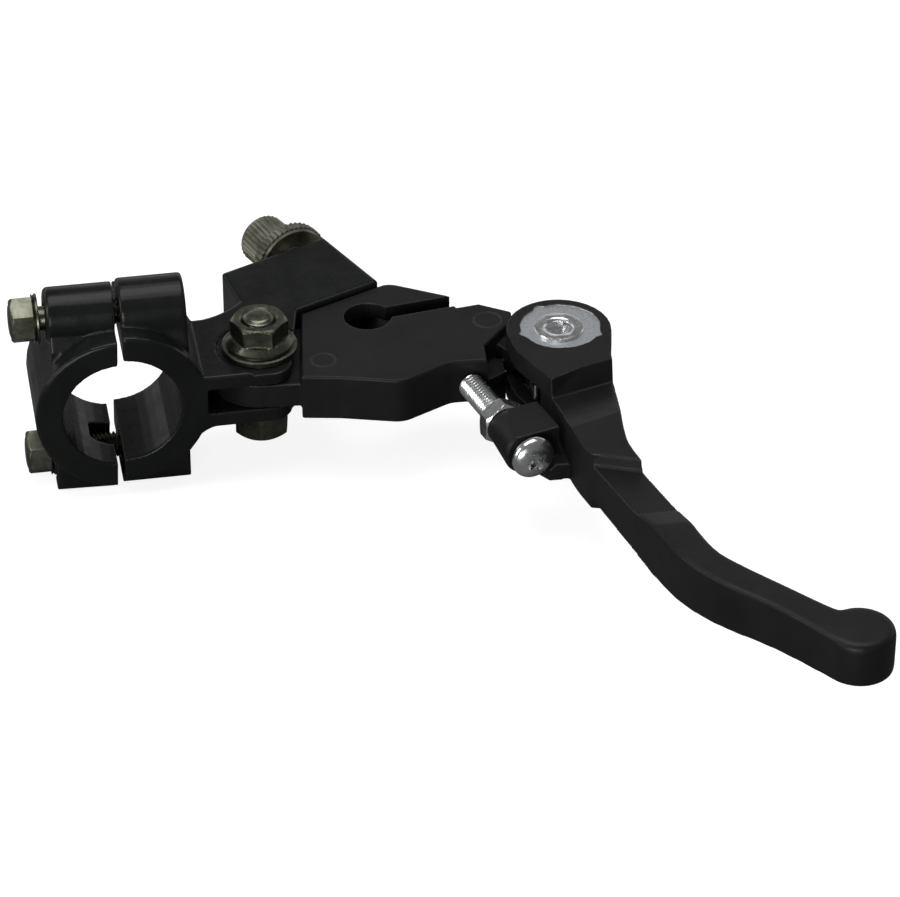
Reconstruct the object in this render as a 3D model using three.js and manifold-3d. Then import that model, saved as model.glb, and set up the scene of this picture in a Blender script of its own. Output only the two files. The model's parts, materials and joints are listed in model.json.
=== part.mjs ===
// Folding clutch lever on its handlebar perch.
//
// Millimetres, +Z up. +X points away from the handlebar towards the lever, +Y runs
// along the bar towards its middle, and both lever pivots are parallel to Z. All
// dimensions are measured from the centre of the handlebar bore, half way along
// the clamp. At the end the whole is moved so that the origin is REFERENCE.

import * as THREE from 'three';
import { mergeVertices } from 'three/addons/utils/BufferGeometryUtils.js';
import { ConvexGeometry } from 'three/addons/geometries/ConvexGeometry.js';
import Module from 'manifold-3d';

const wasm = await Module();
wasm.setup();

// ---------------------------------------------------------------- dimensions

// Middle of the clamp's ring wall on the inboard end face, level with the bar
const REFERENCE = new THREE.Vector3(13.7, 10.5, 0);

// Handlebar clamp. The cap leans a little, so its lower split is the wider one.
const BAR_DIAMETER = 22.2;
const CLAMP_WIDTH = 21;
const RING_RADIUS = 16.3;
const PERCH_SPLIT = { top: 0.5, bottom: -0.45 };
const CAP_SPLIT = { top: -0.5, bottom: -1.75 };
const CAP_DROP = 1;
const CAP_SWING = 1.7;
const CLAMP_BOSS_RADIUS = 6.3;
const CAP_BOSS_RADIUS = 5.8;
const BOSS_FLARE = 1.3;
const UPPER_BOLT_HEIGHT = 15.8;
const LOWER_BOLT_HEIGHT = -14.5;
const PERCH_BOSS_END = 13.1;
const CAP_BOSS_END = -13.4;
const LOWER_LUG_END = 12.6;
const CAP_LUG_END = -12.2;
const LOWER_LUG_BOTTOM = -18.9;
const LOWER_LUG_HALF_WIDTH = 7;
const RELIEF_RADIUS = 4.4;
const RELIEF_START = -6;

// Clamp bolts, M5 with a small flanged hexagon head
const CLAMP_BOLT_RADIUS = 2.5;
const CLAMP_BOLT_FLATS = 8;
const CLAMP_BOLT_FLANGE_RADIUS = 4.8;
const CLAMP_BOLT_HEAD = 5.3;
const CLAMP_BOLT_LENGTH = 24;
const UPPER_BOLT_SEAT = -14.45;
const LOWER_BOLT_SEAT = -12.9;

// Perch plate and its fork round the lever
const PLATE_HALF_HEIGHT = 5.75;
const CLEVIS_HALF_HEIGHT = 2.7;
const CLEVIS_LEFT = 16.1;
const CLEVIS_BACK = 9.6;
const NUT_RECESS_RADIUS = 8.4;
const NUT_RECESS_FLOOR = 5.1;

// Lever pivot
const PIVOT = new THREE.Vector2(27.2, -1.1);
const PIVOT_SHANK_RADIUS = 3;
const PIVOT_BUSH_RADIUS = 5;
const PIVOT_FLATS = 9.8;
const PIVOT_WASHER_RADIUS = 7.25;
const PIVOT_WASHER_TOP = 6.3;
const PIVOT_NUT_TOP = 12;
const PIVOT_BOLT_TOP = 12.6;
const PIVOT_HEAD_BOTTOM = -13.2;

// Cable adjuster, M8, leaning 24 degrees towards the bar
const ADJUSTER_LEAN = 24;
const ADJUSTER_SEAT = new THREE.Vector2(39.9, 33.1);
const ADJUSTER_SHANK_RADIUS = 4;
const ADJUSTER_HEAD_RADIUS = 5.05;
const ADJUSTER_HEAD_LENGTH = 9.2;
const ADJUSTER_ENGAGEMENT = 14;
const LOCK_RING_RADIUS = 8;
const LOCK_RING_THICKNESS = 3;
const LOCK_RING_STANDOFF = 2.6;

// Lever body
const BODY_HALF_HEIGHT = 4.85;
const TOE_BOTTOM = -7.2;
const TOE_LEFT = 70.8;
const TONGUE_HALF_HEIGHT = 2.5;
const PIVOT_EYE_RADIUS = 9.2;
const KEYHOLE = new THREE.Vector2(49.3, 6.8);
const KEYHOLE_RADIUS = 4.6;
const CABLE_SLOT_WIDTH = 3.6;
const CABLE_SLOT_ANGLE = 8;
const CABLE_SLIT_HALF_HEIGHT = 1.6;

// Fold pivot
const FOLD = new THREE.Vector2(84.1, -7.4);
const FOLD_TONGUE_RADIUS = 8.6;
const FOLD_SHANK_RADIUS = 3;
const FOLD_BUSH_RADIUS = 4.2;
const FOLD_HEAD_RADIUS = 4.7;
const FOLD_HEAD_TOP = 7.8;
const FOLD_SOCKET_FLATS = 4.2;
const FOLD_SHANK_LENGTH = 12.6;
const FOLD_NUT_FLATS = 10;
const FOLD_NUT_THICKNESS = 4.2;
const SHIM_RADIUS = 8;
const SHIM_THICKNESS = 0.3;
const SPRING_COIL_RADIUS = 6.3;
const SPRING_WIRE_RADIUS = 0.5;
const SPRING_BOTTOM = -1.85;
const SPRING_RISE = 2.25;
const SPRING_TURNS = 2.03;
const SPRING_LEG_OFFSET = 1.1;

// Blade
const EYE_RADIUS = 10.1;
const EYE_HALF_HEIGHT = 7.5;
const FORK_HALF_GAP = 2.9;
const SPOT_FACE_RADIUS = 7.7;
const SPOT_FACE_Z = 7.25;
const NECK_HALF_HEIGHT = 6.15;
const GRIP_HALF_HEIGHT = 5.5;
const BALL = new THREE.Vector2(118.2, -106.1);
const BALL_RADIUS = 6.3;
const BALL_UNDERSIDE = -3.8;
const LUG_HALF_HEIGHT = 3.9;

// Stop screw, M5 with a cross-recess pan head
const STOP_TIP = new THREE.Vector2(65.85, -12.35);
const STOP_BEARING = -74.3;
const STOP_THREAD_RADIUS = 2.5;
const STOP_HEAD_RADIUS = 4.2;
const STOP_HEAD_HEIGHT = 2.5;
const STOP_HEAD_STANDOFF = 1.2;
const STOP_NUT_FLATS = 8;
const STOP_NUT_START = 12.6;
const STOP_NUT_THICKNESS = 3.2;
const LUG_START = 15.9;
const LUG_END = 25.4;

const THREAD_CLEARANCE = 0.04;
const SEGMENTS = 36;
const BEVEL_STEPS = 2;

// ------------------------------------------------------------------- helpers

const radians = THREE.MathUtils.degToRad;

function signedVolume(positions, index) {
  const a = new THREE.Vector3();
  const b = new THREE.Vector3();
  const c = new THREE.Vector3();
  let volume = 0;
  for (let i = 0; i < index.length; i += 3) {
    a.fromArray(positions, index[i] * 3);
    b.fromArray(positions, index[i + 1] * 3);
    c.fromArray(positions, index[i + 2] * 3);
    volume += a.dot(b.cross(c)) / 6;
  }
  return volume;
}

function solid(geometry) {
  const bare = geometry.clone();
  bare.deleteAttribute('normal');
  bare.deleteAttribute('uv');
  const merged = mergeVertices(bare, 1e-5);
  const positions = new Float32Array(merged.attributes.position.array);
  const index = Array.from(merged.index.array);
  if (signedVolume(positions, index) < 0) index.reverse();
  const mesh = new wasm.Mesh({
    numProp: 3,
    vertProperties: positions,
    triVerts: new Uint32Array(index),
  });
  return new wasm.Manifold(mesh);
}

function union(...solids) {
  return solids.reduce((sum, next) => sum.add(next));
}

// A plan outline raised from one height to another, with its rim rounded.
function prism(shape, bottom, top, round = 0, detail = 12) {
  const geometry = new THREE.ExtrudeGeometry(shape, {
    depth: top - bottom - 2 * round,
    curveSegments: detail,
    bevelEnabled: round > 0,
    bevelThickness: round,
    bevelSize: round,
    bevelOffset: -round,
    bevelSegments: BEVEL_STEPS,
  });
  geometry.translate(0, 0, bottom + round);
  return solid(geometry);
}

// An outline in X and Z carried along Y.
function prismAlongY(shape, front, back, round = 0) {
  const geometry = new THREE.ExtrudeGeometry(shape, {
    depth: back - front - 2 * round,
    curveSegments: SEGMENTS / 2,
    bevelEnabled: round > 0,
    bevelThickness: round,
    bevelSize: round,
    bevelOffset: -round,
    bevelSegments: BEVEL_STEPS,
  });
  geometry.rotateX(Math.PI / 2);
  geometry.translate(0, back - round, 0);
  return solid(geometry);
}

// An outline in Y and Z carried along X.
function prismAlongX(shape, left, right, round = 0) {
  const geometry = new THREE.ExtrudeGeometry(shape, {
    depth: right - left - 2 * round,
    curveSegments: SEGMENTS / 4,
    bevelEnabled: round > 0,
    bevelThickness: round,
    bevelSize: round,
    bevelOffset: -round,
    bevelSegments: BEVEL_STEPS,
  });
  geometry.rotateX(Math.PI / 2);
  geometry.rotateZ(Math.PI / 2);
  geometry.translate(left + round, 0, 0);
  return solid(geometry);
}

// A profile of [radius, height] pairs turned about Z.
function turned(profile, segments = SEGMENTS) {
  const points = profile.map(([radius, height]) => new THREE.Vector2(radius, height));
  const geometry = new THREE.LatheGeometry(points, segments);
  geometry.rotateX(Math.PI / 2);
  return solid(geometry);
}

function cylinder(radius, bottom, top, segments = SEGMENTS) {
  return turned([[0, bottom], [radius, bottom], [radius, top], [0, top]], segments);
}

function tube(inner, outer, bottom, top) {
  return turned([[inner, bottom], [outer, bottom], [outer, top], [inner, top], [inner, bottom]]);
}

// A plain shank whose far end is chamfered.
function chamferedShank(radius, bottom, top, chamfer) {
  const edge = top - chamfer;
  return turned([[0, bottom], [radius, bottom], [radius, edge], [radius - chamfer, top], [0, top]]);
}

function hexagon(acrossFlats, bottom, top, turn = 0) {
  const radius = acrossFlats / Math.sqrt(3);
  const corners = [];
  for (let i = 0; i < 6; i += 1) {
    const angle = radians(60 * i + turn);
    corners.push(new THREE.Vector2(radius * Math.cos(angle), radius * Math.sin(angle)));
  }
  return prism(new THREE.Shape(corners), bottom, top);
}

function box(from, to) {
  const geometry = new THREE.BoxGeometry(to[0] - from[0], to[1] - from[1], to[2] - from[2]);
  geometry.translate((from[0] + to[0]) / 2, (from[1] + to[1]) / 2, (from[2] + to[2]) / 2);
  return solid(geometry);
}

function hull(points) {
  return solid(new ConvexGeometry(points.map(([x, y, z]) => new THREE.Vector3(x, y, z))));
}

// Stands a solid made along +Z at a place, pointing in a direction.
function aim(made, place, direction) {
  const up = new THREE.Vector3(0, 0, 1);
  const turn = new THREE.Quaternion().setFromUnitVectors(up, direction);
  const matrix = new THREE.Matrix4().compose(place, turn, new THREE.Vector3(1, 1, 1));
  return made.transform(matrix.elements);
}

function outline(points) {
  return new THREE.Shape(points.map(([x, y]) => new THREE.Vector2(x, y)));
}

function circle(centre, radius) {
  const shape = new THREE.Shape();
  shape.absarc(centre.x, centre.y, radius, 0, 2 * Math.PI);
  return shape;
}

// A straight-knurled wheel: shallow vees round the rim.
function knurledShape(radius, teeth, depth) {
  const points = [];
  for (let i = 0; i < teeth; i += 1) {
    const crest = (2 * Math.PI * i) / teeth;
    const root = (2 * Math.PI * (i + 0.5)) / teeth;
    points.push(new THREE.Vector2(radius * Math.cos(crest), radius * Math.sin(crest)));
    points.push(new THREE.Vector2((radius - depth) * Math.cos(root), (radius - depth) * Math.sin(root)));
  }
  return new THREE.Shape(points);
}

// --------------------------------------------------------------------- perch

const bore = BAR_DIAMETER / 2;
const ringFront = -CLAMP_WIDTH / 2;
const ringBack = CLAMP_WIDTH / 2;

// Upper clamp boss: round over the top, flaring out where it meets the ring.
function bossSection(radius) {
  const foot = UPPER_BOLT_HEIGHT - 4;
  const shape = new THREE.Shape();
  shape.moveTo(radius + BOSS_FLARE, foot - 4);
  shape.lineTo(radius + BOSS_FLARE, foot);
  shape.quadraticCurveTo(radius, foot + 1.5, radius, UPPER_BOLT_HEIGHT);
  shape.absarc(0, UPPER_BOLT_HEIGHT, radius, 0, Math.PI);
  shape.quadraticCurveTo(-radius, foot + 1.5, -radius - BOSS_FLARE, foot);
  shape.lineTo(-radius - BOSS_FLARE, foot - 4);
  return shape;
}

function clampRing() {
  return prismAlongY(circle(new THREE.Vector2(0, 0), RING_RADIUS), ringFront, ringBack, 0.6);
}

// Everything on one side of a split face, out to a far X.
function besideSplit(split, far) {
  const slope = (split.top - split.bottom) / (UPPER_BOLT_HEIGHT - LOWER_BOLT_HEIGHT);
  const at = (z) => split.bottom + slope * (z - LOWER_BOLT_HEIGHT);
  return prismAlongY(outline([[at(-40), -40], [far, -40], [far, 40], [at(40), 40]]), -30, 60);
}

function handlebarHole() {
  return prismAlongY(circle(new THREE.Vector2(0, 0), bore), ringFront - 1, ringBack + 1);
}

function clampBoltHole(radius, height, start, end) {
  const hole = cylinder(radius, 0, end - start);
  return aim(hole, new THREE.Vector3(start, 0, height), new THREE.Vector3(1, 0, 0));
}

function plateShape() {
  const shape = new THREE.Shape();
  shape.moveTo(9, ringFront + 0.05);
  shape.lineTo(28.2, ringFront + 0.05);
  shape.absarc(28.2, -6.05, 4.4, -Math.PI / 2, 0);
  shape.lineTo(36, 10);
  shape.lineTo(53.1, 17.6);
  shape.lineTo(44.95, 35.5);
  shape.lineTo(23.4, 25.7);
  shape.lineTo(25.4, 15);
  shape.quadraticCurveTo(21.6, 11, 17.5, 10.1);
  shape.lineTo(9, 9.6);
  return shape;
}

function nutRecessShape() {
  const edge = PIVOT.x - NUT_RECESS_RADIUS * Math.SQRT1_2;
  const low = PIVOT.y - NUT_RECESS_RADIUS * Math.SQRT1_2;
  const drop = low - (ringFront - 0.5);
  return outline([
    [edge, low], [edge + drop, low - drop], [40, low - drop], [40, PIVOT.y], [PIVOT.x, PIVOT.y],
  ]);
}

// The fillet that carries the ring into the underside of the plate.
function gusset() {
  const underside = -PLATE_HALF_HEIGHT + 0.1;
  const shape = new THREE.Shape();
  shape.moveTo(9, -5);
  shape.lineTo(20, -5);
  shape.lineTo(20, underside);
  shape.quadraticCurveTo(14.6, underside, 12.6, -10.2);
  shape.lineTo(9, -10.2);
  return prismAlongY(shape, ringFront + 0.6, ringBack - 0.6);
}

const lean = radians(ADJUSTER_LEAN);
const adjusterDirection = new THREE.Vector3(-Math.sin(lean), Math.cos(lean), 0);
const adjusterSeat = new THREE.Vector3(ADJUSTER_SEAT.x, ADJUSTER_SEAT.y, 0);

function alongAdjuster(made) {
  return aim(made, adjusterSeat, adjusterDirection);
}

function perch() {
  const boss = prismAlongX(bossSection(CLAMP_BOSS_RADIUS), PERCH_SPLIT.top, PERCH_BOSS_END, 0.6);
  const lug = prismAlongY(
    outline([[-2, -8], [-2, LOWER_LUG_BOTTOM], [LOWER_LUG_END, LOWER_LUG_BOTTOM], [LOWER_LUG_END, -8]]),
    -LOWER_LUG_HALF_WIDTH, LOWER_LUG_HALF_WIDTH, 0.5,
  );
  const plate = prism(plateShape(), -PLATE_HALF_HEIGHT, PLATE_HALF_HEIGHT, 0.5, 6);
  let body = union(clampRing(), boss, lug, plate, gusset());
  body = body.intersect(besideSplit(PERCH_SPLIT, 80));
  body = body.subtract(handlebarHole());
  const thread = CLAMP_BOLT_RADIUS + THREAD_CLEARANCE;
  body = body.subtract(clampBoltHole(thread, UPPER_BOLT_HEIGHT, -3, 11));
  body = body.subtract(clampBoltHole(thread, LOWER_BOLT_HEIGHT, -3, 14));
  body = body.subtract(box([CLEVIS_LEFT, -14, -CLEVIS_HALF_HEIGHT], [60, CLEVIS_BACK, CLEVIS_HALF_HEIGHT]));
  const recess = union(
    prism(circle(PIVOT, NUT_RECESS_RADIUS), NUT_RECESS_FLOOR, 8),
    prism(nutRecessShape(), NUT_RECESS_FLOOR, 8),
  );
  body = body.subtract(recess);
  const pivotHole = cylinder(PIVOT_SHANK_RADIUS + THREAD_CLEARANCE, -10, 10);
  body = body.subtract(pivotHole.translate([PIVOT.x, PIVOT.y, 0]));
  const screwed = cylinder(ADJUSTER_SHANK_RADIUS + THREAD_CLEARANCE, -ADJUSTER_ENGAGEMENT - 1, 5);
  const cableWay = cylinder(2.2, -40, -ADJUSTER_ENGAGEMENT, 24);
  return body.subtract(alongAdjuster(union(screwed, cableWay)));
}

// The cap hangs a little low and swings out at the bottom, so the bolts lie
// straight through holes with room to spare.
function clampCap() {
  const start = 1;
  const length = start - CAP_BOSS_END;
  const boss = aim(
    turned([[0, 0], [CAP_BOSS_RADIUS, 0], [5.5, length - 0.6], [4.9, length], [0, length]]),
    new THREE.Vector3(start, 0, UPPER_BOLT_HEIGHT + CAP_DROP), new THREE.Vector3(-1, 0, 0),
  );
  const footShape = outline([
    [-6.6, 8], [-6.6, 12.5], [-5.2, UPPER_BOLT_HEIGHT], [5.2, UPPER_BOLT_HEIGHT], [6.6, 12.5], [6.6, 8],
  ]);
  const foot = prismAlongX(footShape, CAP_BOSS_END + 0.6, start);
  const bottom = LOWER_LUG_BOTTOM + CAP_DROP / 4;
  const lug = prismAlongY(
    outline([[start, -8], [start, bottom], [CAP_LUG_END, bottom], [CAP_LUG_END, -8]]),
    -LOWER_LUG_HALF_WIDTH, LOWER_LUG_HALF_WIDTH, 0.5,
  );
  let body = union(clampRing(), boss, foot, lug)
    .subtract(handlebarHole())
    .translate([0, 0, -UPPER_BOLT_HEIGHT])
    .rotate([0, CAP_SWING, 0])
    .translate([0, 0, UPPER_BOLT_HEIGHT - CAP_DROP])
    .intersect(besideSplit(CAP_SPLIT, -40));
  const clearance = CLAMP_BOLT_RADIUS + 0.3;
  const spotFace = CLAMP_BOLT_FLANGE_RADIUS + 0.3;
  body = body.subtract(clampBoltHole(spotFace, LOWER_BOLT_HEIGHT, -30, LOWER_BOLT_SEAT));
  body = body.subtract(clampBoltHole(clearance, UPPER_BOLT_HEIGHT, -30, 1));
  body = body.subtract(clampBoltHole(clearance, LOWER_BOLT_HEIGHT, -30, 1));
  return body.subtract(clampBoltHole(RELIEF_RADIUS, LOWER_BOLT_HEIGHT, RELIEF_START, 1));
}

// Head to the left of the seat, shank to the right of it.
function clampBolt(seat, height) {
  const rim = CLAMP_BOLT_FLANGE_RADIUS;
  const flange = turned([[0, -1], [4.2, -1], [rim, -0.6], [rim, 0], [0, 0]]);
  const shank = chamferedShank(CLAMP_BOLT_RADIUS, -0.5, CLAMP_BOLT_LENGTH, 0.6);
  const bolt = union(flange, hexagon(CLAMP_BOLT_FLATS, -CLAMP_BOLT_HEAD, -0.8), shank);
  return aim(bolt, new THREE.Vector3(seat, 0, height), new THREE.Vector3(1, 0, 0));
}

// --------------------------------------------------------------- lever pivot

function atPivot(made) {
  return made.translate([PIVOT.x, PIVOT.y, 0]);
}

function pivotBolt() {
  const headTop = -PLATE_HALF_HEIGHT;
  const rim = 6.9;
  const edge = headTop - 1;
  const flange = turned([[0, edge - 1], [5, edge - 1], [rim, edge], [rim, headTop], [0, headTop]]);
  const head = hexagon(PIVOT_FLATS, PIVOT_HEAD_BOTTOM, edge, 20);
  const shank = chamferedShank(PIVOT_SHANK_RADIUS, headTop - 0.5, PIVOT_BOLT_TOP, 0.5);
  return atPivot(union(flange, head, shank));
}

function pivotWasher() {
  return atPivot(tube(PIVOT_SHANK_RADIUS + 0.2, PIVOT_WASHER_RADIUS, NUT_RECESS_FLOOR, PIVOT_WASHER_TOP));
}

function pivotNut() {
  const bottom = PIVOT_WASHER_TOP;
  const rim = 6.5;
  const edge = bottom + 0.9;
  const flange = turned([[0, bottom], [rim, bottom], [rim, edge], [5, bottom + 2], [0, bottom + 2]]);
  const hex = hexagon(PIVOT_FLATS, bottom + 1, PIVOT_NUT_TOP, 50);
  const hole = cylinder(PIVOT_SHANK_RADIUS + THREAD_CLEARANCE, bottom - 1, PIVOT_NUT_TOP + 1);
  return atPivot(union(flange, hex).subtract(hole));
}

function pivotBush() {
  const half = CLEVIS_HALF_HEIGHT - 0.05;
  return atPivot(tube(PIVOT_SHANK_RADIUS + 0.05, PIVOT_BUSH_RADIUS, -half, half));
}

// ------------------------------------------------------------ cable adjuster

function cableAdjuster() {
  const headStart = LOCK_RING_STANDOFF + LOCK_RING_THICKNESS + 0.3;
  const headEnd = headStart + ADJUSTER_HEAD_LENGTH;
  const head = prism(knurledShape(ADJUSTER_HEAD_RADIUS, 28, 0.35), headStart, headEnd);
  const shank = cylinder(ADJUSTER_SHANK_RADIUS, -ADJUSTER_ENGAGEMENT, headStart + 1);
  const cableWay = cylinder(1.7, -20, 20, 24);
  const ferrulePocket = cylinder(3.1, headEnd - 7, headEnd + 1);
  return alongAdjuster(union(head, shank).subtract(union(cableWay, ferrulePocket)));
}

function lockRing() {
  const top = LOCK_RING_STANDOFF + LOCK_RING_THICKNESS;
  const rim = prism(knurledShape(LOCK_RING_RADIUS, 40, 0.4), LOCK_RING_STANDOFF, top);
  const hole = cylinder(ADJUSTER_SHANK_RADIUS + THREAD_CLEARANCE, 0, 10);
  return alongAdjuster(rim.subtract(hole));
}

// ---------------------------------------------------------------- lever body

function bodyShape() {
  const shape = new THREE.Shape();
  shape.moveTo(33.7, -11.8);
  shape.lineTo(41, -13.2);
  shape.lineTo(50.6, -16);
  shape.quadraticCurveTo(52.4, -16.5, 54, -15.8);
  shape.lineTo(61.6, -12.1);
  shape.quadraticCurveTo(62.4, -11.7, 63.5, -11.7);
  shape.lineTo(69.4, -12);
  shape.lineTo(69.7, -7.2);
  shape.lineTo(75, -1);
  shape.lineTo(77, 3.8);
  shape.lineTo(71.2, 7.6);
  shape.lineTo(66.7, 7);
  shape.lineTo(66.4, 11.2);
  shape.lineTo(56.7, 17);
  shape.quadraticCurveTo(54.9, 18, 53.4, 17.3);
  shape.lineTo(36.8, 9.95);
  return shape;
}

function pivotTongueShape() {
  const shape = new THREE.Shape();
  shape.moveTo(38, -11.2);
  shape.lineTo(38, 8.4);
  shape.lineTo(PIVOT.x + 1, PIVOT.y + PIVOT_EYE_RADIUS);
  shape.absarc(PIVOT.x, PIVOT.y, PIVOT_EYE_RADIUS, Math.PI / 2, 1.5 * Math.PI);
  return shape;
}

// Straight flanks running from the body on to the round end at the fold pivot.
function foldTongueShape() {
  const shape = new THREE.Shape();
  shape.moveTo(67, -7.6);
  shape.absarc(FOLD.x, FOLD.y, FOLD_TONGUE_RADIUS, radians(-123), radians(72));
  shape.lineTo(77, 3.8);
  shape.lineTo(67, 6);
  return shape;
}

// Below the tongue the body reaches on to the right, as far as the blade's ear,
// and its toe hangs down beside the ear.
function heelShape() {
  const shape = new THREE.Shape();
  shape.moveTo(66, -8);
  shape.lineTo(69.3, -11.9);
  shape.lineTo(71.8, -10.7);
  shape.lineTo(73.4, -9.6);
  shape.absarc(FOLD.x, FOLD.y, EYE_RADIUS + 0.6, radians(-169), radians(-201), true);
  shape.lineTo(72, 0);
  shape.lineTo(66, 0);
  return shape;
}

// The underside of the tongue is open round the front so that the lower spring
// leg can swing with the blade. A round land is left beside the bush.
function springWindow() {
  const shape = outline([
    [73.5, FOLD.y + 1], [73.5, FOLD.y - 20], [FOLD.x + 20, FOLD.y - 20], [FOLD.x + 20, FOLD.y + 1],
  ]);
  const land = atFold(cylinder(5.4, -5, 0));
  return prism(shape, -4, -1.1).subtract(land);
}

function leverBody() {
  const body = prism(bodyShape(), -BODY_HALF_HEIGHT, BODY_HALF_HEIGHT, 0.4, 5);
  const pivotTongue = prism(pivotTongueShape(), -TONGUE_HALF_HEIGHT, TONGUE_HALF_HEIGHT);
  const foldTongue = prism(foldTongueShape(), -TONGUE_HALF_HEIGHT, TONGUE_HALF_HEIGHT);
  const heel = prism(heelShape(), -BODY_HALF_HEIGHT, 0);
  const toe = prism(heelShape(), TOE_BOTTOM, 0).intersect(box([TOE_LEFT, -20, -12], [80, 10, 0]));
  let lever = union(body, pivotTongue, foldTongue, heel, toe);

  const keyhole = prism(circle(KEYHOLE, KEYHOLE_RADIUS), -10, 10);
  const slot = box([0, -CABLE_SLOT_WIDTH / 2, -10], [30, CABLE_SLOT_WIDTH / 2, 10])
    .rotate([0, 0, CABLE_SLOT_ANGLE])
    .translate([KEYHOLE.x, KEYHOLE.y + 0.2, 0]);
  const slitShape = outline([
    [KEYHOLE.x - 2, KEYHOLE.y], [KEYHOLE.x - 10, 20], [60, 24], [72, 13], [KEYHOLE.x + 3, KEYHOLE.y],
  ]);
  const slit = prism(slitShape, -CABLE_SLIT_HALF_HEIGHT, CABLE_SLIT_HALF_HEIGHT);
  lever = lever.subtract(union(keyhole, slot, slit));

  const bushHole = cylinder(PIVOT_BUSH_RADIUS + 0.05, -10, 10);
  lever = lever.subtract(atPivot(bushHole));
  const foldHole = cylinder(FOLD_BUSH_RADIUS + 0.05, -10, 10);
  const springGroove = tube(5.4, 7.3, -4, 1);
  lever = lever.subtract(atFold(union(foldHole, springGroove)));

  const anchor = box([6, -SPRING_LEG_OFFSET - 0.7, -4], [12, -SPRING_LEG_OFFSET + 0.7, 1])
    .rotate([0, 0, 180 - 360 * SPRING_TURNS]);
  return lever.subtract(union(springWindow(), atFold(anchor)));
}

// ---------------------------------------------------------------- fold pivot

function atFold(made) {
  return made.translate([FOLD.x, FOLD.y, 0]);
}

function foldBush() {
  const half = FORK_HALF_GAP - 0.05;
  return atFold(tube(FOLD_SHANK_RADIUS + 0.05, FOLD_BUSH_RADIUS, -half, half));
}

function foldShim(side) {
  const inner = TONGUE_HALF_HEIGHT + 0.05;
  const shim = tube(FOLD_BUSH_RADIUS + 0.05, SHIM_RADIUS, inner, inner + SHIM_THICKNESS);
  return atFold(side > 0 ? shim : shim.rotate([180, 0, 0]));
}

function foldScrew() {
  const head = chamferedShank(FOLD_HEAD_RADIUS, SPOT_FACE_Z, FOLD_HEAD_TOP, 0.2);
  const shank = chamferedShank(FOLD_SHANK_RADIUS, -SPOT_FACE_Z - 0.5, FOLD_SHANK_LENGTH, 0.5)
    .rotate([180, 0, 0]);
  const socket = hexagon(FOLD_SOCKET_FLATS, FOLD_HEAD_TOP - 1.8, FOLD_HEAD_TOP + 1, 10);
  return atFold(union(head, shank).subtract(socket));
}

function foldNut() {
  const top = -EYE_HALF_HEIGHT;
  const nut = hexagon(FOLD_NUT_FLATS, top - FOLD_NUT_THICKNESS, top, 15);
  return atFold(nut.subtract(cylinder(FOLD_SHANK_RADIUS + THREAD_CLEARANCE, top - 6, top + 1)));
}

// Torsion spring: one leg hooks upwards beside the blade, the coil lies in the
// groove of the tongue, and the other leg is let into the tongue.
function foldSpring() {
  const low = SPRING_BOTTOM;
  const left = FOLD.x - SPRING_COIL_RADIUS;
  const hook = [[-17.6, 1.8], [-17.6, 0.6], [-17.6, -0.7], [-17.3, -1.5]];
  const leg = [-16.6, -14.5, -11.5, -9];
  const points = [
    ...hook.map(([y, z]) => new THREE.Vector3(left - 0.1, y, z)),
    ...leg.map((y) => new THREE.Vector3(left, y, low)),
  ];
  const steps = 40;
  for (let i = 0; i <= steps; i += 1) {
    const share = i / steps;
    const angle = Math.PI - 2 * Math.PI * SPRING_TURNS * share;
    points.push(new THREE.Vector3(
      FOLD.x + SPRING_COIL_RADIUS * Math.cos(angle),
      FOLD.y + SPRING_COIL_RADIUS * Math.sin(angle),
      low + SPRING_RISE * share,
    ));
  }
  const end = Math.PI - 2 * Math.PI * SPRING_TURNS;
  const outward = new THREE.Vector3(Math.cos(end), Math.sin(end), 0);
  const along = new THREE.Vector3(Math.sin(end), -Math.cos(end), 0);
  const last = points[points.length - 1];
  points.push(last.clone().addScaledVector(along, 0.8).addScaledVector(outward, 0.25));
  for (const radial of [0.9, 2, 4]) {
    points.push(last.clone().addScaledVector(along, SPRING_LEG_OFFSET).addScaledVector(outward, radial));
  }
  const wire = new THREE.ExtrudeGeometry(circle(new THREE.Vector2(0, 0), SPRING_WIRE_RADIUS), {
    steps: 90,
    curveSegments: 3,
    bevelEnabled: false,
    extrudePath: new THREE.CatmullRomCurve3(points, false, 'centripetal'),
  });
  return solid(wire);
}

// --------------------------------------------------------------------- blade

function shoulderShape() {
  const shape = new THREE.Shape();
  shape.moveTo(FOLD.x - 9.9, FOLD.y - 3);
  shape.lineTo(74.6, -13.3);
  shape.lineTo(76.5, -17.9);
  shape.lineTo(79.2, -24);
  shape.lineTo(79.8, -28);
  shape.lineTo(91.6, -25);
  shape.lineTo(92.2, -17.8);
  shape.lineTo(93.2, -13.3);
  shape.lineTo(FOLD.x + 9.9, FOLD.y - 2);
  shape.lineTo(FOLD.x, FOLD.y);
  return shape;
}

// Neck and finger grip in one sweep: the bar side of the blade first, round inside
// the ball at the tip, then back up the outer side.
function bladeShape() {
  const shape = new THREE.Shape();
  const barSide = [
    [79.9, -31], [80.1, -37], [80.9, -42.5], [82.3, -48], [86.3, -63], [88.5, -70.1],
    [91.6, -80.6], [96.6, -89], [103.8, -96.9], [108.3, -102.7], [112.9, -109.3],
  ];
  const outerSide = [
    [115.4, -100.4], [108.8, -92.8], [101.4, -84], [98.3, -79], [96, -70.5], [93.6, -61.5],
    [90.2, -47.5], [89.9, -41.7], [90.5, -35.2], [91.2, -28.6],
  ];
  const toVector = ([x, y]) => new THREE.Vector2(x, y);
  shape.moveTo(92, -20);
  shape.lineTo(79.3, -24);
  shape.splineThru(barSide.map(toVector));
  shape.absarc(BALL.x, BALL.y, BALL_RADIUS - 1, radians(-143), radians(100));
  shape.splineThru(outerSide.map(toVector));
  return shape;
}

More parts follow.
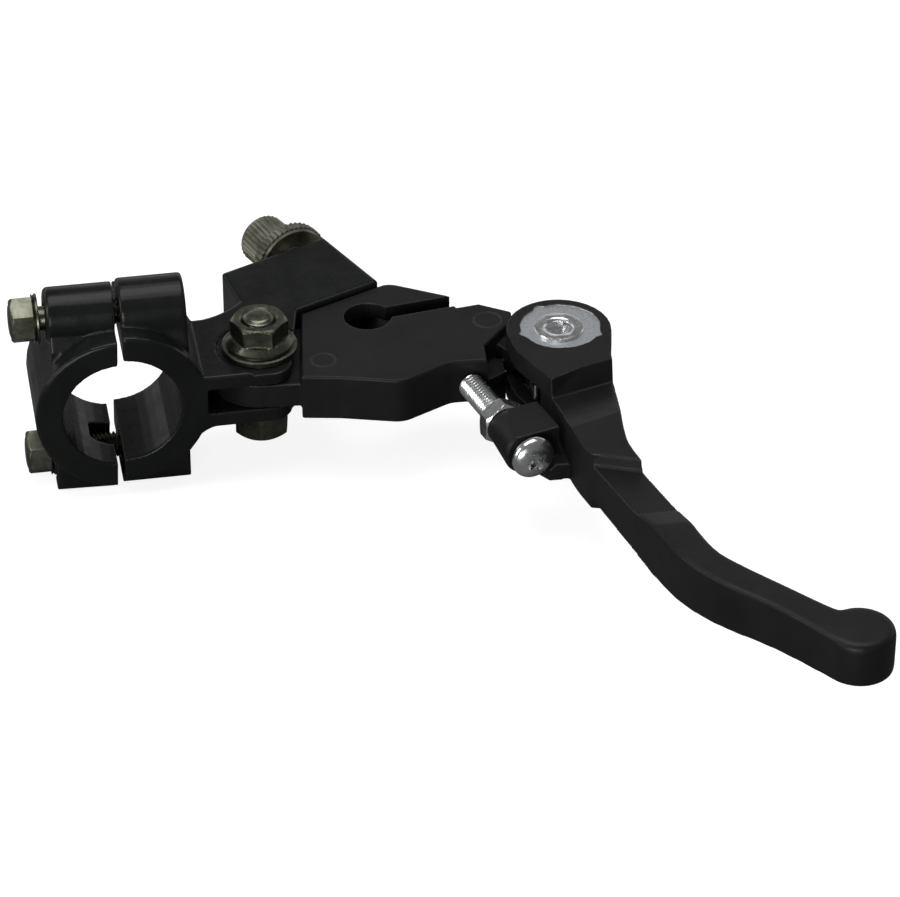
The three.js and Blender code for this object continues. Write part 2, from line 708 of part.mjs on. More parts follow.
// Solids made along +Z with their +X side turned to the right of the screw.
function alongStop(made) {
  return made.rotate([0, 90, 0]).rotate([0, 0, STOP_BEARING]).translate([STOP_TIP.x, STOP_TIP.y, 0]);
}

function stopLug() {
  const edge = LUG_END - 0.5;
  const barrel = turned([[0, LUG_START], [3.7, LUG_START], [4.7, edge], [4.3, LUG_END], [0, LUG_END]]);
  const flank = hull([
    [-LUG_HALF_HEIGHT, 0, LUG_START], [LUG_HALF_HEIGHT, 0, LUG_START],
    [-LUG_HALF_HEIGHT, 6.4, LUG_START], [LUG_HALF_HEIGHT, 6.4, LUG_START],
    [-LUG_HALF_HEIGHT, 0, LUG_END], [LUG_HALF_HEIGHT, 0, LUG_END],
    [-LUG_HALF_HEIGHT, 6.4, LUG_END], [LUG_HALF_HEIGHT, 6.4, LUG_END],
  ]);
  const slab = box([-LUG_HALF_HEIGHT, -10, LUG_START - 1], [LUG_HALF_HEIGHT, 20, LUG_END + 1]);
  return alongStop(union(barrel, flank).intersect(slab));
}

// What is taken off under the grip, which gets thinner towards the ball.
function gripUndercut() {
  const start = -70;
  const slope = (BALL_UNDERSIDE + GRIP_HALF_HEIGHT) / (start - BALL.y);
  const end = BALL.y - 15;
  const points = [];
  for (const x of [70, 140]) {
    points.push([x, start, -GRIP_HALF_HEIGHT], [x, start, -12]);
    points.push([x, end, slope * (start - end) - GRIP_HALF_HEIGHT], [x, end, -12]);
  }
  return hull(points);
}

// A notch across the blade: a steep wall down to the floor, then a ramp back up.
function notch({ wallTop, wallFoot, rampEnd, floor, rise }) {
  const above = 12;
  const points = [];
  for (const [x, y] of wallTop) points.push([x, y, above]);
  for (const [x, y] of wallFoot) points.push([x, y, floor]);
  for (const [x, y] of rampEnd) points.push([x, y, rise], [x, y, above]);
  return hull(points);
}

function leverBlade() {
  const eye = prism(circle(FOLD, EYE_RADIUS), -EYE_HALF_HEIGHT, EYE_HALF_HEIGHT, 0.3, 16);
  const shoulder = prism(shoulderShape(), -EYE_HALF_HEIGHT, EYE_HALF_HEIGHT, 0.3);
  const stem = prism(bladeShape(), -NECK_HALF_HEIGHT, NECK_HALF_HEIGHT, 0.4, 3);
  const deckShape = outline([[73.5, -34], [76.5, -38.2], [80.8, -38.4], [82, -26], [75, -25.5]]);
  const deck = prism(deckShape, -NECK_HALF_HEIGHT, -2.5);
  const ball = prism(circle(BALL, BALL_RADIUS), BALL_UNDERSIDE - 0.4, GRIP_HALF_HEIGHT, 1.2, 14);
  let blade = union(eye, shoulder, stem, ball, deck, stopLug());

  // Behind the shoulder, behind the neck, and over the whole finger grip.
  const first = notch({
    wallTop: [[76.5, -25.3], [94, -17]],
    wallFoot: [[78.6, -25.4], [94, -20.8]],
    rampEnd: [[78.6, -39.6], [94, -34]],
    floor: 3.4,
    rise: NECK_HALF_HEIGHT,
  });
  const second = notch({
    wallTop: [[80, -47.3], [94, -51.4]],
    wallFoot: [[80, -47.4], [94, -53]],
    rampEnd: [[83, -66], [100, -66]],
    floor: 3.7,
    rise: 4.3,
  });
  const third = notch({
    wallTop: [[80, -64], [100, -64]],
    wallFoot: [[80, -64], [100, -64]],
    rampEnd: [[80, -71], [102, -71]],
    floor: 4.2,
    rise: GRIP_HALF_HEIGHT,
  });
  const grip = box([80, -125, GRIP_HALF_HEIGHT], [135, -70, 20]);
  const upper = union(first, second, third, grip);
  const keepDeck = box([70, -38.4, -12], [78.9, -20, 0]);
  blade = blade.subtract(upper).subtract(upper.mirror([0, 0, 1]).subtract(keepDeck));

  blade = blade.subtract(gripUndercut());
  blade = blade.subtract(forkGap());
  blade = blade.subtract(atFold(cylinder(FOLD_SHANK_RADIUS + THREAD_CLEARANCE, -12, 12)));
  blade = blade.subtract(atFold(cylinder(SPOT_FACE_RADIUS, SPOT_FACE_Z, 12)));
  const headRoom = cylinder(STOP_HEAD_RADIUS + 0.7, LUG_END, LUG_END + 10);
  const threadHole = cylinder(STOP_THREAD_RADIUS + THREAD_CLEARANCE, LUG_START - 2, LUG_END + 2);
  return blade.subtract(alongStop(union(headRoom, threadHole)));
}

// The gap between the ears: round at the web, open to the lever side for every
// fold angle, and cut back beside the spring hook.
function forkGap() {
  const radius = FOLD_TONGUE_RADIUS + 0.6;
  const from = radians(-126);
  const to = radians(-12);
  const shape = new THREE.Shape();
  shape.moveTo(60, FOLD.y - 4);
  shape.lineTo(FOLD.x + radius * Math.cos(from), FOLD.y + radius * Math.sin(from));
  shape.absarc(FOLD.x, FOLD.y, radius, from, to);
  shape.lineTo(110, FOLD.y + 30);
  shape.lineTo(60, FOLD.y + 30);
  const gap = prism(shape, -FORK_HALF_GAP, FORK_HALF_GAP);
  const hookRoom = box([60, -21.5, -FORK_HALF_GAP], [78.5, FOLD.y, FORK_HALF_GAP]);
  return union(gap, hookRoom);
}

// ---------------------------------------------------------------- stop screw

function stopScrew() {
  const head = LUG_END + STOP_HEAD_STANDOFF;
  const crown = head + STOP_HEAD_HEIGHT;
  const screw = turned([
    [0, 0.3], [1.7, 0.3], [STOP_THREAD_RADIUS, 1.1], [STOP_THREAD_RADIUS, head],
    [STOP_HEAD_RADIUS - 0.2, head], [STOP_HEAD_RADIUS, head + 0.5], [STOP_HEAD_RADIUS - 0.3, head + 1.4],
    [STOP_HEAD_RADIUS - 1.4, crown - 0.2], [0, crown],
  ]);
  const arm = box([-2.1, -0.45, crown - 1.6], [2.1, 0.45, crown + 1]);
  return alongStop(screw.subtract(union(arm, arm.rotate([0, 0, 90])).rotate([0, 0, 30])));
}

function stopNut() {
  const nut = hexagon(STOP_NUT_FLATS, STOP_NUT_START, STOP_NUT_START + STOP_NUT_THICKNESS, 0);
  const hole = cylinder(STOP_THREAD_RADIUS + THREAD_CLEARANCE, 0, 30);
  return alongStop(nut.subtract(hole));
}

// ------------------------------------------------------------------ assembly

const blackPaint = { color: 0x141416, roughness: 0.42, metalness: 0.2 };
const satinPaint = { color: 0x17181a, roughness: 0.55, metalness: 0.15 };
const darkZinc = { color: 0x6a6650, roughness: 0.4, metalness: 0.85 };
const oliveZinc = { color: 0x7b7a6c, roughness: 0.45, metalness: 0.8 };
const brightZinc = { color: 0xb9bcbd, roughness: 0.3, metalness: 0.95 };
const steel = { color: 0x8d8f91, roughness: 0.35, metalness: 0.9 };

const group = new THREE.Group();

function addPiece(name, made, finish) {
  const raw = made.getMesh();
  const geometry = new THREE.BufferGeometry();
  const stride = raw.numProp;
  const positions = new Float32Array((raw.vertProperties.length / stride) * 3);
  for (let i = 0; i < positions.length / 3; i += 1) {
    positions[3 * i] = raw.vertProperties[i * stride];
    positions[3 * i + 1] = raw.vertProperties[i * stride + 1];
    positions[3 * i + 2] = raw.vertProperties[i * stride + 2];
  }
  geometry.setAttribute('position', new THREE.BufferAttribute(positions, 3));
  geometry.setIndex(Array.from(raw.triVerts));
  geometry.computeVertexNormals();
  const mesh = new THREE.Mesh(geometry, new THREE.MeshStandardMaterial(finish));
  mesh.name = name;
  group.add(mesh);
}

addPiece('perch', perch(), blackPaint);
addPiece('clamp_cap', clampCap(), blackPaint);
addPiece('clamp_bolt_upper', clampBolt(UPPER_BOLT_SEAT, UPPER_BOLT_HEIGHT), darkZinc);
addPiece('clamp_bolt_lower', clampBolt(LOWER_BOLT_SEAT, LOWER_BOLT_HEIGHT), darkZinc);
addPiece('pivot_bolt', pivotBolt(), darkZinc);
addPiece('pivot_washer', pivotWasher(), darkZinc);
addPiece('pivot_nut', pivotNut(), darkZinc);
addPiece('pivot_bush', pivotBush(), steel);
addPiece('cable_adjuster', cableAdjuster(), oliveZinc);
addPiece('adjuster_lock_ring', lockRing(), oliveZinc);
addPiece('lever_body', leverBody(), satinPaint);
addPiece('fold_screw', foldScrew(), brightZinc);
addPiece('fold_nut', foldNut(), brightZinc);
addPiece('fold_bush', foldBush(), steel);
addPiece('fold_shim_upper', foldShim(1), steel);
addPiece('fold_shim_lower', foldShim(-1), steel);
addPiece('fold_spring', foldSpring(), brightZinc);
addPiece('lever_blade', leverBlade(), satinPaint);
addPiece('stop_screw', stopScrew(), brightZinc);
addPiece('stop_nut', stopNut(), brightZinc);

group.position.copy(REFERENCE).negate();

export default group;
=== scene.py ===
"""Folding clutch lever on its handlebar perch: the looks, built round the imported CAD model.

Shapes are made in millimetres and scaled to metres at the end. The frame is the CAD frame: the
origin is on the clamp's inboard end face, +X points to the lever, +Y along the bar, +Z up.
"""

import json
import math

import bmesh
import bpy
from mathutils import Matrix, Vector


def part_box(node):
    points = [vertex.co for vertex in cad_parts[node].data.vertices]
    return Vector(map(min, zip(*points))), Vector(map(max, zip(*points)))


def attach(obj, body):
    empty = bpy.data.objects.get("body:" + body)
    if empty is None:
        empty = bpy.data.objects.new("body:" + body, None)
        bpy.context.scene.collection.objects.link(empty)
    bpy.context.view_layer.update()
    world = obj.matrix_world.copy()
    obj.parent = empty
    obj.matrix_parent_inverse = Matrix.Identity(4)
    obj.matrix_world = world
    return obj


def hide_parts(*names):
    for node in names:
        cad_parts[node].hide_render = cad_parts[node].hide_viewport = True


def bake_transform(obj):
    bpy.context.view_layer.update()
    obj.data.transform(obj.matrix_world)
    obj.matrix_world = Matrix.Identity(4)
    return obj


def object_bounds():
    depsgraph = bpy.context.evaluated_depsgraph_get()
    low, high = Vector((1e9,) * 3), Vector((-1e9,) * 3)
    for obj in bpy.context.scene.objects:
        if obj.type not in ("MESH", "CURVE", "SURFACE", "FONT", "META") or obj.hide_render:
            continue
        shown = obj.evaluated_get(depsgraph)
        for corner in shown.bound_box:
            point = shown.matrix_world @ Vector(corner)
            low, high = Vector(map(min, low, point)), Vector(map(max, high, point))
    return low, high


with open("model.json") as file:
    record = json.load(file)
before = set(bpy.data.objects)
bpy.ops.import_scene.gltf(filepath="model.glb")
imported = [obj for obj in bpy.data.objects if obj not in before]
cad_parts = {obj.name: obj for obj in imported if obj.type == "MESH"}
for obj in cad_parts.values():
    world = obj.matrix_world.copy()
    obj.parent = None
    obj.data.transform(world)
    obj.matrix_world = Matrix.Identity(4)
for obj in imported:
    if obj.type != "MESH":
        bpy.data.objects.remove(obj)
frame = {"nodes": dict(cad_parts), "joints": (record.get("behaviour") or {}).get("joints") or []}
cad_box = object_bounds()

MM = 0.001
VOXEL = 0.2
FACE_LIMIT = 180000
TURN_SEGMENTS = 96

# ------------------------------------------------------------------ where things are

joints = {joint["name"]: joint for joint in frame["joints"]}


def joint_place(name):
    """The point a joint turns about, in millimetres."""
    return Vector(joints[name]["pos_m"]) / MM


def joint_axis(name):
    return Vector(joints[name]["axis"]).normalized()


def low(node):
    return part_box(node)[0] / MM


def high(node):
    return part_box(node)[1] / MM


PIVOT = joint_place("lever_pull")
FOLD = joint_place("blade_fold")
ADJUSTER_SEAT = joint_place("lock_ring_spin")
ADJUSTER_AXIS = joint_axis("lock_ring_spin")
STOP_TIP = joint_place("stop_nut_spin")
STOP_AXIS = joint_axis("stop_nut_spin")

# Heights of the blade's eye, of the bare floor faced into it and of the lever body's plate.
EYE_TOP = 7.5
SPOT_FLOOR = 7.25
PLATE_TOP = high("lever_body").z


def frame_along(origin, axis, up=Vector((0, 0, 1))):
    """A matrix whose Z runs along an axis from an origin, with X turned towards up."""
    z = axis.normalized()
    x = (up - z * up.dot(z)).normalized()
    y = z.cross(x)
    turn = Matrix((x, y, z)).transposed().to_4x4()
    return Matrix.Translation(origin) @ turn


# ------------------------------------------------------------------ mesh helpers


def new_object(name, mesh):
    obj = bpy.data.objects.new(name, mesh)
    bpy.context.scene.collection.objects.link(obj)
    return obj


def from_bmesh(name, shape):
    bmesh.ops.recalc_face_normals(shape, faces=shape.faces)
    mesh = bpy.data.meshes.new(name)
    shape.to_mesh(mesh)
    shape.free()
    return new_object(name, mesh)


def copy_of_node(name, node):
    """The CAD solid of a node as a new mesh in millimetres, with its doubled corners merged."""
    shape = bmesh.new()
    shape.from_mesh(frame["nodes"][node].data)
    bmesh.ops.scale(shape, vec=Vector((1, 1, 1)) / MM, verts=shape.verts)
    bmesh.ops.remove_doubles(shape, verts=shape.verts, dist=1e-4)
    return from_bmesh(name, shape)


def ring_of(shape, radius, height, segments, turn):
    """One ring of a turned body; radius is a number or a function of the angle."""
    ring = []
    for i in range(segments):
        angle = 2 * math.pi * i / segments
        r = radius(angle) if callable(radius) else radius
        place = (r * math.cos(angle + turn), r * math.sin(angle + turn), height)
        ring.append(shape.verts.new(place))
    return ring


def skin(shape, rings, closed):
    """Faces between neighbouring rings; closed joins the last to the first instead of capping."""
    pairs = list(zip(rings, rings[1:]))
    if closed:
        pairs.append((rings[-1], rings[0]))
    for below, above in pairs:
        for i in range(len(below)):
            j = (i + 1) % len(below)
            shape.faces.new((below[i], below[j], above[j], above[i]))
    if not closed:
        shape.faces.new(list(reversed(rings[0])))
        shape.faces.new(rings[-1])


def spun(name, stations, segments=TURN_SEGMENTS, hollow=False):
    """A body from stations (height, radius[, turn]) up its axis.

    A hollow body's last station joins its first.
    """
    shape = bmesh.new()
    rings = []
    for station in stations:
        height, radius = station[0], station[1]
        turn = station[2] if len(station) > 2 else 0.0
        rings.append(ring_of(shape, radius, height, segments, turn))
    skin(shape, rings, closed=hollow)
    return from_bmesh(name, shape)


def wire(name, path, radius, segments=16):
    """Round wire along a path of points."""
    shape = bmesh.new()
    rings = []
    side = Vector((0, 0, 1))
    for i, point in enumerate(path):
        ahead = path[min(i + 1, len(path) - 1)] - path[max(i - 1, 0)]
        ahead.normalize()
        side = side - ahead * side.dot(ahead)
        if side.length < 0.3:
            side = ahead.orthogonal()
        side.normalize()
        other = ahead.cross(side)
        ring = []
        for j in range(segments):
            angle = 2 * math.pi * j / segments
            offset = radius * (math.cos(angle) * side + math.sin(angle) * other)
            ring.append(shape.verts.new(point + offset))
        rings.append(ring)
    skin(shape, rings, closed=False)
    return from_bmesh(name, shape)


def slab(name, corners, bottom, top):
    """An outline of (x, y) corners raised from bottom to top."""
    shape = bmesh.new()
    lower = [shape.verts.new((x, y, bottom)) for x, y in corners]
    upper = [shape.verts.new((x, y, top)) for x, y in corners]
    shape.faces.new(list(reversed(lower)))
    shape.faces.new(upper)
    for i in range(len(corners)):
        j = (i + 1) % len(corners)
        shape.faces.new((lower[i], lower[j], upper[j], upper[i]))
    return from_bmesh(name, shape)


def moved(obj, matrix):
    obj.data.transform(matrix)
    return obj


def applied(obj):
    """Turns an object's modifiers into its mesh."""
    bpy.context.view_layer.update()
    evaluated = obj.evaluated_get(bpy.context.evaluated_depsgraph_get())
    mesh = bpy.data.meshes.new_from_object(evaluated)
    obj.modifiers.clear()
    old = obj.data
    obj.data = mesh
    bpy.data.meshes.remove(old)
    return obj


def combined(obj, others, operation):
    """A boolean of obj with each of the others, which are used up."""
    for other in others:
        step = obj.modifiers.new("combine", "BOOLEAN")
        step.operation = operation
        step.solver = "MANIFOLD"
        step.object = other
        applied(obj)
        bpy.data.objects.remove(other)
    return obj


def cut(obj, *others):
    return combined(obj, others, "DIFFERENCE")


def join(obj, *others):
    return combined(obj, others, "UNION")


def cast(obj, rounds, rounded=None):
    """Gives a body the soft edges of a casting: fine remesh, smoothing, then thinning.

    rounded(point) is 0 to 1, how far the edges at a point are rounded off as well.
    """
    remesh = obj.modifiers.new("remesh", "REMESH")
    remesh.mode = "VOXEL"
    remesh.voxel_size = VOXEL
    applied(obj)
    smooth = obj.modifiers.new("smooth", "SMOOTH")
    smooth.factor = 0.5
    smooth.iterations = rounds
    if rounded:
        group = obj.vertex_groups.new(name="rounded")
        for vertex in obj.data.vertices:
            weight = rounded(vertex.co)
            if weight > 0:
                group.add([vertex.index], weight, "REPLACE")
        extra = obj.modifiers.new("rounding", "SMOOTH")
        extra.factor = 0.5
        extra.iterations = round(3.2 / VOXEL**2)
        extra.vertex_group = group.name
    thin = obj.modifiers.new("thin", "DECIMATE")
    thin.ratio = min(0.5, FACE_LIMIT / (2 * len(obj.data.polygons)))
    return applied(obj)


def finished(obj, body, replaced, material, sharp=35, bends=None):
    """Scales a piece to metres, shades it and, unless bends is given, hangs it on its CAD body.

    bends is (other body, start, end); a piece given it only has its placement baked into its mesh,
    and the body and the two points are not used.
    """
    obj.data.transform(Matrix.Scale(MM, 4))
    obj.data.shade_smooth()
    obj.data.set_sharp_from_angle(angle=math.radians(sharp))
    obj.data.materials.clear()
    obj.data.materials.append(material)
    if bends:
        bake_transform(obj)
    else:
        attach(obj, body)
    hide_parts(replaced)
    return obj


# ------------------------------------------------------------------ radius functions


def hexagon(across_flats, turn=0.0, limit=1e9):
    """Radius of a hexagon, cut off at a limit, for every angle."""

    def radius(angle):
        local = (angle - turn) % (math.pi / 3) - math.pi / 6
        return min(across_flats / 2 / math.cos(local), limit)

    return radius


def knurl(radius, teeth, depth):
    """Radius of a wheel with rounded vee grooves."""

    def at(angle):
        phase = (angle * teeth / (2 * math.pi)) % 1
        return radius - depth * (1 - abs(2 * phase - 1)) ** 1.5

    return at


def thread_stations(radius, pitch, start, end, depth=None):
    """Stations of a screw thread between two heights.

    Each ring's radius winds round with its height.
    """
    depth = depth or 0.55 * pitch
    step = pitch / 10
    count = round((end - start) / step)
    stations = []
    for i in range(count + 1):
        height = start + (end - start) * i / count
        runout = min(1, (height - start) / pitch, (end - height) / pitch)

        def at(angle, height=height, runout=runout):
            phase = (height / pitch - angle / (2 * math.pi)) % 1
            wave = min(1, max(0, 2.6 * abs(phase - 0.5) - 0.15))
            return radius - depth * wave * (0.35 + 0.65 * runout)

        stations.append((height, at))
    return stations


# ------------------------------------------------------------------ materials

BLACK = (0.007, 0.0075, 0.0075, 1)
SATIN = (0.0075, 0.0083, 0.0075, 1)
# Lighter colour for convex paint edges: worn thin paint and a painted highlight along the rounded
# edges.
WORN_AND_HIGHLIT_EDGE = (0.05, 0.052, 0.05, 1)


def nodes_of(name):
    material = bpy.data.materials.new(name)
    material.use_nodes = True
    tree = material.node_tree
    shader = tree.nodes["Principled BSDF"]
    return material, tree, shader


def add(tree, kind, **settings):
    node = tree.nodes.new(kind)
    for key, value in settings.items():
        if key in node.inputs:
            node.inputs[key].default_value = value
        else:
            setattr(node, key, value)
    return node


def noise_of(tree, scale, detail=4.0, roughness=0.55):
    """Noise in object space; scale is in waves per metre."""
    place = add(tree, "ShaderNodeTexCoord")
    texture = add(tree, "ShaderNodeTexNoise", Scale=scale, Detail=detail, Roughness=roughness)
    tree.links.new(place.outputs["Object"], texture.inputs["Vector"])
    return texture.outputs["Fac"]


def ramp(tree, source, low_value, high_value, low_at=0.35, high_at=0.65):
    """Maps a value on to a range."""
    node = add(tree, "ShaderNodeMapRange")
    node.inputs["From Min"].default_value = low_at
    node.inputs["From Max"].default_value = high_at
    node.inputs["To Min"].default_value = low_value
    node.inputs["To Max"].default_value = high_value
    tree.links.new(source, node.inputs["Value"])
    return node.outputs["Result"]


def mixed(tree, share, first, second):
    """A colour between two; each is a colour or a socket."""
    node = add(tree, "ShaderNodeMix", data_type="RGBA")
    for socket, value in ((node.inputs[6], first), (node.inputs[7], second)):
        if isinstance(value, tuple):
            socket.default_value = value
        else:
            tree.links.new(value, socket)
    if isinstance(share, float):
        node.inputs[0].default_value = share
    else:
        tree.links.new(share, node.inputs[0])
    return node.outputs[2]


def product(tree, first, second):
    node = add(tree, "ShaderNodeMath", operation="MULTIPLY")
    tree.links.new(first, node.inputs[0])
    tree.links.new(second, node.inputs[1])
    return node.outputs[0]


def bumps(tree, layers):
    """Stacks bump layers given as (height socket, distance in metres, strength)."""
    normal = None
    for height, distance, strength in layers:
        node = add(tree, "ShaderNodeBump", Distance=distance, Strength=strength)
        tree.links.new(height, node.inputs["Height"])
        if normal is not None:
            tree.links.new(normal, node.inputs["Normal"])
        normal = node.outputs["Normal"]
    return normal


def edge_share(tree, radius, low_at, high_at):
    """1 on convex edges and 0 on flats, from how far a bevelled normal turns away."""
    bevel = add(tree, "ShaderNodeBevel", samples=6, Radius=radius)
    geometry = add(tree, "ShaderNodeNewGeometry")
    dot = add(tree, "ShaderNodeVectorMath", operation="DOT_PRODUCT")
    tree.links.new(bevel.outputs["Normal"], dot.inputs[0])
    tree.links.new(geometry.outputs["Normal"], dot.inputs[1])
    return ramp(tree, dot.outputs["Value"], 1.0, 0.0, low_at, high_at)


def paint(name, colour, roughness, grain, peel):
    """Black paint over a casting: colour drift, orange peel, fine grain, and convex edges painted
    lighter, partly as worn thin paint and partly as a painted highlight.
    """
    material, tree, shader = nodes_of(name)
    drift = noise_of(tree, 90, 3)
    light = tuple(1.4 * c for c in colour[:3]) + (1,)
    base = mixed(tree, ramp(tree, drift, 0.0, 1.0), colour, light)
    # Convex edges get a lighter base colour: partly worn paint, partly a painted highlight
    # standing in for the gleam on rounded edges.
    edges = edge_share(tree, 0.0003, 0.93, 0.995)
    worn_and_highlit = mixed(tree, edges, base, WORN_AND_HIGHLIT_EDGE)
    tree.links.new(worn_and_highlit, shader.inputs["Base Color"])
    patches = noise_of(tree, 260, 5, 0.65)
    gloss = ramp(tree, patches, roughness - 0.05, roughness + 0.07)
    tree.links.new(gloss, shader.inputs["Roughness"])
    shader.inputs["Specular IOR Level"].default_value = 0.2
    layers = [
        (noise_of(tree, 420, 2, 0.4), 0.00006, peel),
        (noise_of(tree, 3800, 3, 0.6), 0.00002, grain),
    ]
    tree.links.new(bumps(tree, layers), shader.inputs["Normal"])
    return material, tree, shader


def metal(tree, shader, dark, light, roughness, scratch):
    """Sets up plated metal: a tint that wanders, with fine scratches and pits."""
    tint = noise_of(tree, 350, 4, 0.5)
    base = mixed(tree, ramp(tree, tint, 0.0, 1.0), dark, light)
    tree.links.new(base, shader.inputs["Base Color"])
    shader.inputs["Metallic"].default_value = 1.0
    patches = noise_of(tree, 900, 4, 0.6)
    gloss = ramp(tree, patches, roughness - 0.04, roughness + 0.08)
    tree.links.new(gloss, shader.inputs["Roughness"])
    layers = [
        (noise_of(tree, 700, 2, 0.4), 0.00003, scratch),
        (noise_of(tree, 9000, 2, 0.5), 0.000004, scratch),
    ]
    tree.links.new(bumps(tree, layers), shader.inputs["Normal"])


def plating(name, dark, light, roughness, scratch=0.2):
    material, tree, shader = nodes_of(name)
    metal(tree, shader, dark, light, roughness, scratch)
    return material


def satin(name):
    return paint(name, SATIN, roughness=0.42, grain=0.35, peel=0.12)


def blade_paint():
    """The satin paint of the blade, faced off to bare metal on the floor of the spot face."""
    reach = 0.0088
    material, tree, shader = satin("blade_paint")
    bare = add(tree, "ShaderNodeBsdfPrincipled", Metallic=1.0, Roughness=0.42)
    swirl = noise_of(tree, 1500, 3, 0.6)
    grey = mixed(tree, ramp(tree, swirl, 0.0, 1.0), (0.55, 0.58, 0.61, 1), (0.7, 0.73, 0.76, 1))
    tree.links.new(grey, bare.inputs["Base Color"])
    place = add(tree, "ShaderNodeTexCoord")
    parts = add(tree, "ShaderNodeSeparateXYZ")
    tree.links.new(place.outputs["Object"], parts.inputs[0])
    away = add(tree, "ShaderNodeVectorMath", operation="DISTANCE")
    tree.links.new(place.outputs["Object"], away.inputs[0])
    away.inputs[1].default_value = Vector((FOLD.x, FOLD.y, SPOT_FLOOR)) * MM
    near = ramp(tree, away.outputs["Value"], 1.0, 0.0, reach, reach + 0.0001)
    height = parts.outputs["Z"]
    under = ramp(tree, height, 1.0, 0.0, (SPOT_FLOOR + 0.08) * MM, (SPOT_FLOOR + 0.13) * MM)
    over = ramp(tree, height, 0.0, 1.0, (SPOT_FLOOR - 0.1) * MM, (SPOT_FLOOR - 0.06) * MM)
    share = product(tree, product(tree, near, under), over)
    both = add(tree, "ShaderNodeMixShader")
    tree.links.new(share, both.inputs[0])
    tree.links.new(shader.outputs[0], both.inputs[1])
    tree.links.new(bare.outputs[0], both.inputs[2])
    tree.links.new(both.outputs[0], tree.nodes["Material Output"].inputs["Surface"])
    return material


black_paint = paint("black_paint", BLACK, roughness=0.26, grain=0.2, peel=0.18)[0]
satin_paint = satin("satin_paint")[0]
spot_faced_paint = blade_paint()
dark_zinc = plating("dark_zinc", (0.105, 0.108, 0.082, 1), (0.185, 0.187, 0.145, 1), 0.3)
olive_zinc = plating("olive_zinc", (0.24, 0.23, 0.18, 1), (0.36, 0.35, 0.28, 1), 0.34)
bright_zinc = plating("bright_zinc", (0.8, 0.82, 0.83, 1), (0.92, 0.93, 0.94, 1), 0.2, 0.03)
turned_steel = plating("turned_steel", (0.36, 0.36, 0.36, 1), (0.5, 0.5, 0.5, 1), 0.3, 0.15)


# ------------------------------------------------------------------ castings

SPOT_RADIUS = 7.65
SPOT_OFFSET = (0.4, 0.45)
BREAKOUTS = (-170, -31, 113)
BREAKOUT_DEPTH = 0.75
BREAKOUT_WIDTH = 0.11
PLUG_BOTTOM = 6.4
PLUG_INNER = 2.9
PLUG_OUTER = 8.6
GRIP_START = -76.0
GRIP_BLEND = 8.0


def ragged(angle):
    """Radius of the spot face, where the cutter broke the paint away in three corners."""
    wave = 0.05 * math.sin(5 * angle) + 0.04 * math.sin(13 * angle + 1)
    wave += 0.03 * math.sin(31 * angle)
    corners = 0.0
    for degrees in BREAKOUTS:
        off = (angle - math.radians(degrees) + math.pi) % (2 * math.pi) - math.pi
        corners += BREAKOUT_DEPTH * math.exp(-((off / BREAKOUT_WIDTH) ** 2))
    return SPOT_RADIUS + wave + corners


def grip_rounding(point):
    """No extra rounding at the neck, full rounding on the finger grip."""
    return min(1.0, max(0.0, (GRIP_START - point.y) / GRIP_BLEND))


def shallow_ring(obj, centre, radius, top):
    """A witness ring left by an ejector pin: a groove with slanted sides."""
    depth = 0.08
    half = 0.12
    clear = 0.5
    groove = spun("groove", [
        (top - depth, radius - half),
        (top - depth, radius + half),
        (top + clear, radius + clear),
        (top + clear, radius - clear),
    ], hollow=True)
    moved(groove, Matrix.Translation((centre[0], centre[1], 0)))
    return cut(obj, groove)


perch = cast(copy_of_node("perch_casting", "perch"), 8)
finished(perch, "perch", "perch", black_paint)

cap = cast(copy_of_node("clamp_cap_casting", "clamp_cap"), 8)
finished(cap, "perch", "clamp_cap", black_paint)

body = cast(copy_of_node("lever_body_forging", "lever_body"), 4)
shallow_ring(body, (24.9, -17.4), 2.3, PLATE_TOP)
shallow_ring(body, (58.1, -9.0), 2.7, PLATE_TOP)
finished(body, "lever", "lever_body", satin_paint)

# The round spot face of the CAD blade is plugged, then cut again with a ragged edge.
blade = copy_of_node("lever_blade_forging", "lever_blade")
plug = spun("plug", [
    (PLUG_BOTTOM, PLUG_INNER),
    (PLUG_BOTTOM, PLUG_OUTER),
    (EYE_TOP, PLUG_OUTER),
    (EYE_TOP, PLUG_INNER),
], hollow=True)
moved(plug, Matrix.Translation((FOLD.x, FOLD.y, 0)))
join(blade, plug)
cast(blade, 4, grip_rounding)
facing = spun("facing", [(SPOT_FLOOR, ragged), (EYE_TOP + 1, ragged)], segments=240)
moved(facing, Matrix.Translation((FOLD.x + SPOT_OFFSET[0], FOLD.y + SPOT_OFFSET[1], 0)))
cut(blade, facing)
finished(blade, "blade", "lever_blade", spot_faced_paint)

# ------------------------------------------------------------------ hardware

BOLT_RADIUS = 3
BOLT_PITCH = 1
CLAMP_BOLT_RADIUS = 2.5
CLAMP_BOLT_LENGTH = 24
CLAMP_BOLT_PITCH = 0.8
CLAMP_BOLT_FLATS = 8
CLAMP_FLANGE_RADIUS = 4.8
CLAMP_FLANGE_HEIGHT = 1.0
PIVOT_FLATS = 9.8
PIVOT_FLANGE_HEIGHT = 2


def flanged_head(flats, flange_radius, flange_height, head_height, turn=0.0):
    """Stations of a flanged hexagon head standing on height 0, with a chamfered top."""
    corner = flats / math.sqrt(3)
    top = flange_height + head_height
    stations = [
        (0, flange_radius - 0.15),
        (0.15, flange_radius),
        (0.45 * flange_height, flange_radius - 0.05),
        (0.7 * flange_height, flange_radius - 0.4),
        (flange_height, corner + 0.15),
        (flange_height + 0.05, hexagon(flats, turn)),
    ]
    for i in range(9):
        drop = 0.9 * (1 - i / 8)
        limit = flats / 2 - 0.25 + drop * 1.35
        stations.append((top - drop * 0.95, hexagon(flats, turn, limit)))
    return stations, top


